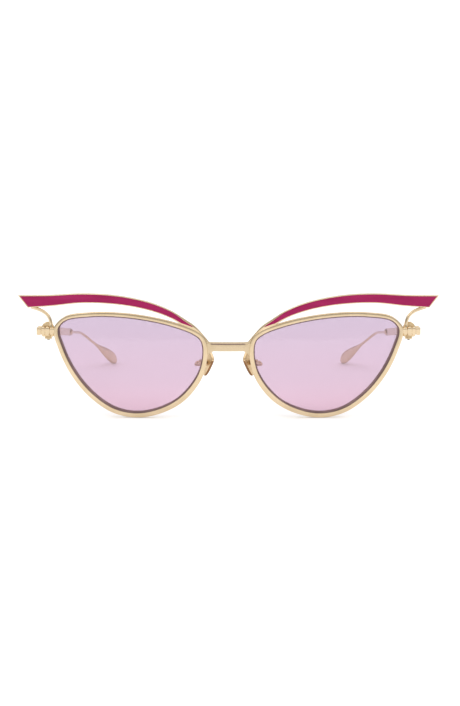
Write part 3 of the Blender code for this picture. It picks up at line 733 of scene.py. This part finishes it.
def rim_lock(label, side):
    """The split closing block behind the rim, in two halves, and its slotted screw."""
    low, high = (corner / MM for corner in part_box("rim_lock_left"))
    centre, half = (low + high) / 2, (high - low) / 2
    axes = (Vector((1, 0, 0)), Vector((0, 1, 0)), Vector((0, 0, 1)))
    half_slit, half_web = 0.1, 0.2
    tall = (half.z - half_slit) / 2
    bm = bmesh.new()
    for sign in (1, -1):
        middle = centre + Vector((0, 0, sign * (half_slit + tall)))
        block(middle, axes, (half.x, half.y, tall), 0.18, bm)
    middle = centre + Vector((half.x - half_web, 0, 0))
    block(middle, axes, (half_web, half.y * 0.8, half.z * 0.5), 0.05, bm)
    place(f"closing_block_{label}", bm, side, [SATIN], "front", "gold_satin", f"rim_lock_{label}")
    bm = slotted_head(centre + Vector((0, 0, half.z)), axes[2], 0.8, 0.5)
    shank = ((0, 0.3), (0.08, 0.4), (2 * half.z, 0.4))
    turned(centre - Vector((0, 0, half.z + 0.12)), axes[2], shank, 20, bm)
    place(f"closing_screw_{label}", bm, side, [STEEL], "front", "screw_steel", f"rim_screw_{label}")


# The hinge


def hinge(label, side):
    """The three-knuckle hinge on its round-ended plate, with its screw and washers."""
    lean = on_axis(1) - on_axis(0)
    back = Vector((0, lean.z, -lean.y))
    across = Vector((1, 0, 0))
    radius, edge = KNUCKLE_RADIUS, 0.15
    width, foot = PLATE_HALF_WIDTH, PLATE_FOOT
    rings = []
    for behind, inset in ((0.0, 0.3), (0.06, 0.12), (0.2, 0.0), (0.5, 0.0), (0.6, 0.12)):
        size = width - inset
        outline = [
            (-size, 0.5 - foot), (0.35 - size, inset - foot), (size - 0.35, inset - foot),
            (size, 0.5 - foot),
        ]
        for k in range(31):
            turn = math.pi * k / 30
            outline.append((size * math.cos(turn), PLATE_TOP - width + size * math.sin(turn)))
        depth = PLATE_BEHIND_HINGE + behind
        rings.append([HINGE + Vector((x + 0.1, depth, z)) for x, z in outline])
    bm = loft(rings)
    for low, high in FRONT_KNUCKLES:
        tall = (high - low) / 2
        block(on_axis(low + tall) - back, (across, back, lean), (1.1, 1.0, tall - 0.03), 0.1, bm)
        barrel = (
            (0, radius - edge), (edge, radius),
            (2 * tall - edge, radius), (2 * tall, radius - edge),
        )
        turned(on_axis(low), lean, barrel, 40, bm)
    name, node = f"front_leaf_{label}", f"hinge_front_leaf_{label}"
    place(name, bm, side, [SATIN], "front", "gold_satin", node)
    barrel = ((0, radius - 0.1), (0.1, radius), (2.0, radius), (2.1, radius - 0.1))
    bm = turned(on_axis(-1.05), lean, barrel, 40)
    rings = []
    for along, inset in ((0.1, 0.0), (0.4, 0.0), (7.4, 0.0), (8.0, 0.35)):
        tall = 1.0 - inset
        section = soften(((0.5, -tall), (1.35, -tall), (1.35, tall), (0.5, tall)), 0.2)
        rings.append([temple_point(p.x, along, p.y) for p in section])
    loft(rings, into=bm)
    name, node = f"temple_leaf_{label}", f"hinge_temple_leaf_{label}"
    place(name, bm, side, [SATIN], f"temple_{label}", "gold_satin", node)
    bm = slotted_head(on_axis(2.8), lean, 1.05, 0.4)
    turned(on_axis(-3.8), lean, ((0, 0.35), (0.12, 0.5), (6.7, 0.5)), 24, bm)
    place(f"hinge_pin_{label}", bm, side, [STEEL], "front", "screw_steel", f"hinge_screw_{label}")
    for word, centre in (("upper", 1.2), ("lower", -1.2)):
        disc = ((0, 1.24), (0.03, 1.29), (0.11, 1.29), (0.14, 1.24))
        bm = turned(on_axis(centre - 0.07), lean, disc, 40)
        name, node = f"washer_{word}_{label}", f"hinge_washer_{word}_{label}"
        place(name, bm, side, [NYLON], "front", "washer_nylon", node)


# The temple


def temple_bar(label, side):
    """The bar: softened edges and a faint ridge along its outer side."""
    rings = []
    shape = [(0.0, 0.8), (0.002, 0.92), (0.006, 1.0)]
    shape += [(k / 20, 1.0) for k in range(1, 20)]
    shape += [(0.994, 1.0), (0.998, 0.92), (1.0, 0.8)]
    for share, size in shape:
        wide = BAR_HALF_WIDTH * (1 - 0.12 * share) * size
        high = BAR_HALF_HEIGHT * (1 - 0.15 * share) * size
        along = BAR_START + share * (BAR_END - BAR_START)
        ridge = wide + 0.06 * size
        corners = ((wide, -high), (ridge, 0), (wide, high), (-wide, high), (-wide, -high))
        section = soften(corners, 0.42, 5)
        rings.append([temple_point(BAR_OFFSET + p.x, along, p.y) for p in section])
    name, node = f"arm_bar_{label}", f"temple_bar_{label}"
    place(name, loft(rings), side, [GOLD], f"temple_{label}", "gold", node)


def temple_collar(label, side):
    """The ringed ferrule at the end of the bar, tapering to the wire."""
    profile = [(0.0, 1.15)]
    for start, end, size in COLLAR_RINGS:
        for k in range(13):
            share = k / 12
            crown = 1 - 0.14 * abs(2 * share - 1) ** 2.4
            profile.append((start + (end - start) * share, COLLAR_RADIUS * size * crown))
    for k in range(6):
        share = k / 5
        distance = CONE_START + (COLLAR_LENGTH - CONE_START) * share
        profile.append((distance, CONE_RADIUS - 0.18 * share ** 0.7))
    start = temple_point(BAR_OFFSET, COLLAR_START, 0)
    along = temple_point(BAR_OFFSET, COLLAR_START + 1, 0) - start
    bm = turned(start, along, profile, 40)
    name, node = f"ferrule_{label}", f"temple_collar_{label}"
    place(name, bm, side, [GOLD], f"temple_{label}", "gold", node, 32)


def ear_point(distance, across=0.0, up=0.0):
    """A point along the ear piece, which drops and turns in from EAR_START."""
    inward = math.tan(EAR_INWARD) * distance * math.cos(EAR_DROP)
    return temple_point(
        BAR_OFFSET - inward + across,
        EAR_START + distance * math.cos(EAR_DROP) + up * math.sin(EAR_DROP),
        -distance * math.sin(EAR_DROP) + up * math.cos(EAR_DROP),
    )


def temple_wire(label, side):
    """The round wire that bends down behind the ear."""
    into_tip = 0.3
    straight = [temple_point(BAR_OFFSET, along, 0) for along in WIRE_STRAIGHT]
    bent = [ear_point(distance) for distance in (*WIRE_BENT, EAR_LENGTH - TIP_LENGTH + into_tip)]
    route = spline([*straight, *bent], 8)
    bm = sweep(route, [WIRE_RADIUS] * len(route))
    name, node = f"arm_wire_{label}", f"temple_wire_{label}"
    place(name, bm, side, [GOLD], f"temple_{label}", "gold", node)


def temple_tip(label, side):
    """The flattened spade end: the wire's round section spreads, then closes in a blunt nose."""
    rings = []
    for share, high, thick, power in TIP_SHAPE:
        distance = EAR_LENGTH - TIP_LENGTH * (1 - share)
        section = oval(TIP_HALF_THICKNESS * thick, TIP_HALF_HEIGHT * high, power, 36)
        rings.append([ear_point(distance, p.x, p.y) for p in section])
    name, node = f"arm_tip_{label}", f"temple_tip_{label}"
    place(name, loft(rings), side, [GOLD], f"temple_{label}", "gold", node)


# The nose pad


def pad_mount(label, side):
    """The wire arm, the slotted bracket that it carries and the pad's screw."""
    axes = (PAD_U, PAD_V, PAD_N)
    outer, inner, tall = BRACKET_OUTER, BRACKET_INNER, BRACKET_HALF_HEIGHT
    front, back = 0.95, PAD_PIVOT_N + 1.0
    overlap, half_web = 0.2, 0.25
    bm = bmesh.new()
    for sign in (1, -1):
        middle = pad_point(sign * (outer + inner) / 2, 0, (front + back + overlap) / 2)
        half = ((outer - inner) / 2, tall, (back + overlap - front) / 2)
        block(middle, axes, half, 0.1, bm)
    block(pad_point(0, 0, back + half_web), axes, (outer, tall, half_web), 0.12, bm)
    place(f"pad_bracket_{label}", bm, side, [SATIN], "front", "gold_satin", f"pad_box_{label}")
    start = [Vector((x, FRONT_Y + y, z)) for x, y, z in PAD_ARM_BENDS]
    route = spline([*start, pad_point(0, 0, back + 1.5), pad_point(0, 0, back + 0.4)], 8)
    radii = []
    for i, _ in enumerate(route):
        share = i / (len(route) - 1)
        root = 0.3 * max(0.0, 1 - share / 0.12) ** 2
        end = 0.1 * max(0.0, (share - 0.85) / 0.15) ** 2
        radii.append(PAD_ARM_RADIUS + root + end)
    bm = sweep(route, radii)
    place(f"pad_wire_{label}", bm, side, [GOLD], "front", "gold", f"pad_arm_{label}")
    bm = slotted_head(pad_point(outer + 0.05, 0, PAD_PIVOT_N), PAD_U, 0.6, 0.35)
    shank = ((0, 0.2), (0.05, 0.28), (2 * outer, 0.28))
    turned(pad_point(-outer, 0, PAD_PIVOT_N), PAD_U, shank, 20, bm)
    place(f"pad_pin_{label}", bm, side, [STEEL], "front", "screw_steel", f"pad_screw_{label}")


def nose_pad(label, side):
    """The kite-shaped pad with a rolled edge, a shallow dished face and the lug behind it."""
    outline = spline(PAD_OUTLINE, 10, closed=True)
    bm = loft([[pad_point(p.x * size, p.y * size, n) for p in outline] for size, n in PAD_PROFILE])
    for face in bm.faces:
        face.normal_update()
        inside = face.calc_center_median() - pad_point(0, 0, 0)
        # The lower front edge's faces take the dark bronze: painted shade and dark reflection on
        # that edge.
        shaded_lower_front = inside.dot(PAD_U) < 0.3 and inside.dot(PAD_V) < 1.0
        if shaded_lower_front and abs(face.normal.dot(PAD_N)) < 0.75:
            face.material_index = 1
    block(pad_point(0, 0, 1.4), (PAD_U, PAD_V, PAD_N), (0.44, 0.74, 0.9), 0.2, bm)
    name, node = f"kite_pad_{label}", f"nose_pad_{label}"
    place(name, bm, side, [PAD_FINISH, PAD_EDGE_SHADE], f"pad_{label}", "pad_gold", node, 45)


# The stage


def stage():
    """A plain white floor that reaches the horizon, just below the glasses' lowest points."""
    below = (0, 0, -0.00004)
    bpy.ops.mesh.primitive_circle_add(vertices=96, radius=14, fill_type="NGON", location=below)
    floor = bpy.context.object
    floor.name = "floor"
    nodes = Nodes("studio_floor")
    nodes.link(nodes.ramp(nodes.noise(3), ((0.3, 0.90), (0.7, 0.91))), "Base Color")
    nodes.set(Roughness=0.9, Specular_IOR_Level=0.0)
    nodes.set(Emission_Color=(1.0, 1.0, 1.0, 1.0), Emission_Strength=0.16)
    floor.data.materials.append(nodes.material)


def studio_world():
    """A bright dome, with a darker band above the horizon for the polished metal to reflect."""
    world = bpy.data.worlds.new("studio")
    bpy.context.scene.world = world
    world.use_nodes = True
    tree = world.node_tree
    background = tree.nodes["Background"]
    place_of = tree.nodes.new("ShaderNodeTexCoord")
    split = tree.nodes.new("ShaderNodeSeparateXYZ")
    ramp = tree.nodes.new("ShaderNodeValToRGB")
    tree.links.new(place_of.outputs["Generated"], split.inputs["Vector"])
    tree.links.new(split.outputs["Z"], ramp.inputs["Fac"])
    tree.links.new(ramp.outputs["Color"], background.inputs["Color"])
    white, band, zenith = 1.0, 0.50, 1.42
    set_stops(ramp, (
        (0.0, white), (0.10, white), (0.17, band), (0.48, band), (0.62, zenith), (1.0, zenith),
    ))
    background.inputs["Strength"].default_value = 1.0


def area_light(name, location, target, size, power):
    light = bpy.data.lights.new(name, "AREA")
    light.shape = "DISK"
    light.size = size
    light.energy = power
    made = bpy.data.objects.new(name, light)
    made.location = location
    made.rotation_euler = (Vector(target) - Vector(location)).to_track_quat("-Z", "Y").to_euler()
    bpy.context.scene.collection.objects.link(made)


def lights():
    area_light("key", (-0.9, -1.2, 1.6), (0, 0, 0), 1.0, 2.4)
    area_light("fill", (1.2, -0.8, 1.3), (0, 0, 0), 1.0, 1.2)


def camera():
    """A long lens in front of the glasses and a little above them."""
    distance = 1.2
    elevation = math.radians(8.1)
    shown_height = 0.26475  # the height in view at the front, in metres
    sensor = 36.0
    made = bpy.data.objects.new("camera", bpy.data.cameras.new("camera"))
    bpy.context.scene.collection.objects.link(made)
    made.data.sensor_width = sensor
    made.data.lens = sensor * distance / shown_height
    target = Vector((0.00056, FRONT_Y * MM, 0.02458))
    look = Vector((0, math.cos(elevation), -math.sin(elevation)))
    made.location = target - look * distance
    made.rotation_euler = look.to_track_quat("-Z", "Y").to_euler()
    made.data.clip_start, made.data.clip_end = 0.05, 60
    bpy.context.scene.camera = made


bridge()
for label, side in SIDES:
    rim(label, side)
    lens(label, side)
    wing(label, side)
    wing_strut(label, side)
    end_piece(label, side)
    rim_lock(label, side)
    hinge(label, side)
    temple_bar(label, side)
    temple_collar(label, side)
    temple_wire(label, side)
    temple_tip(label, side)
    pad_mount(label, side)
    nose_pad(label, side)

stage()
studio_world()
lights()
camera()
bpy.context.scene.view_settings.view_transform = "Standard"
